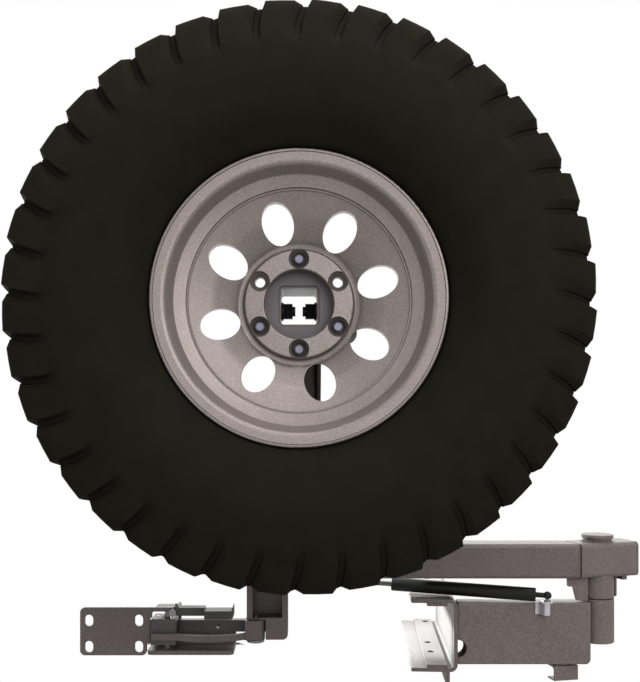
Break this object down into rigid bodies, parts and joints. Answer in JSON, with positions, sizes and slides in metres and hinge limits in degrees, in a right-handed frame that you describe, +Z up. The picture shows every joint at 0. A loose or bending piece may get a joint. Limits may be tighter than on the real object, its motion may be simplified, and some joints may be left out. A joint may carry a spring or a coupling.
{
  "type": "spare tire carrier",
  "caption": "Swing-out spare tire carrier: frame bracket, pivoting arm with post and hub mount holding a wheel and tire, gas strut, and latch with catch plate.",
  "frame": {"origin": "on the upper face of the lower doubler strip of the frame bracket, midway between its two front bolt holes", "axes": "+Z up, +X towards the pivot side, +Y towards the vehicle, away from the wheel's outer face"},
  "size_m": [1.0669, 0.7971, 1.1009],
  "materials": {
    "powder_coat": "textured powder coat",
    "steel": "plain steel",
    "zinc": "bright zinc plate",
    "black_steel": "black oxide",
    "bronze": "plain bronze",
    "strut_black": "black paint",
    "rod_chrome": "ground chrome",
    "wheel_alloy": "satin paint",
    "tyre_rubber": "moulded rubber",
    "rubber_trim": "moulded rubber"
  },
  "bodies": {
    "vehicle_side": {"frame_bracket": "powder_coat", "bracket_doubler_upper": "powder_coat", "bracket_doubler_lower": "powder_coat", "bracket_rib": "powder_coat", "pivot_box": "powder_coat", "pivot_barrel": "powder_coat", "kingpin": "steel", "thrust_washer": "steel", "retaining_washer": "steel", "retaining_screw": "steel", "clip_bracket": "powder_coat", "clip_screws": "steel", "strut_bracket": "zinc", "strut_ball_lower": "steel", "latch_plate": "powder_coat", "catch_top_plate": "powder_coat", "catch_channel": "powder_coat", "striker_pin": "steel", "catch_side_plate": "powder_coat", "catch_rail_left": "powder_coat", "catch_rail_right": "powder_coat", "catch_nut": "zinc"},
    "swing_arm": {"arm_beam": "powder_coat", "arm_end_plate": "powder_coat", "arm_plug": "rubber_trim", "pivot_head": "powder_coat", "head_end_plate": "powder_coat", "pivot_sleeve": "powder_coat", "pivot_bushes": "bronze", "pivot_cap": "powder_coat", "sleeve_front_gusset": "powder_coat", "sleeve_rear_gusset": "powder_coat", "head_bottom_tab": "powder_coat", "post": "powder_coat", "post_cap": "powder_coat", "post_ears": "powder_coat", "hub_tube": "powder_coat", "cross_bolts": "black_steel", "cross_nuts": "black_steel", "cross_washers": "black_steel", "hub_plate": "powder_coat", "wheel_studs": "steel", "drop_leg": "powder_coat", "latch_tongue": "powder_coat", "latch_jaw": "powder_coat", "pawl_pin": "steel", "handle_pin": "steel", "strut_arm_bracket": "powder_coat", "strut_ball_upper": "steel", "wheel": "wheel_alloy", "tyre": "tyre_rubber"},
    "strut_cylinder": {"strut_tube": "strut_black", "strut_end_lower": "strut_black"},
    "strut_piston": {"strut_rod": "rod_chrome", "strut_end_upper": "strut_black"},
    "handle": {"latch_handle": "powder_coat"},
    "pawl": {"latch_pawl": "steel"}
  },
  "joints": [
    {"name": "arm_swing", "type": "hinge", "parent": "vehicle_side", "child": "swing_arm", "pos_m": [0.3, -0.0984, 0.11695], "axis": [0, 0, 1], "range_deg": [0, 80]},
    {"name": "strut_tube_turn", "type": "hinge", "parent": "vehicle_side", "child": "strut_cylinder", "pos_m": [0.1939, -0.146, 0.12815], "axis": [0, 0, 1], "range_deg": [0, 100.5]},
    {"name": "strut_rod_turn", "type": "hinge", "parent": "swing_arm", "child": "strut_piston", "pos_m": [-0.2085, -0.0334, 0.13965], "axis": [0, 0, 1], "range_deg": [0, 20.5]},
    {"name": "handle_pull", "type": "hinge", "parent": "swing_arm", "child": "handle", "pos_m": [-0.338, -0.136, 0.06595], "axis": [0, 0, 1], "range_deg": [0, 35], "stiffness_Nm_per_rad": 0.8},
    {"name": "pawl_lock", "type": "hinge", "parent": "swing_arm", "child": "pawl", "pos_m": [-0.5185, -0.118, 0.06095], "axis": [0, 0, 1], "range_deg": [-80, 0]}
  ],
  "couplings": [
    {"joint": "strut_tube_turn", "follows": "arm_swing", "ratio": 1.256},
    {"joint": "strut_rod_turn", "follows": "arm_swing", "ratio": 0.256}
  ]
}
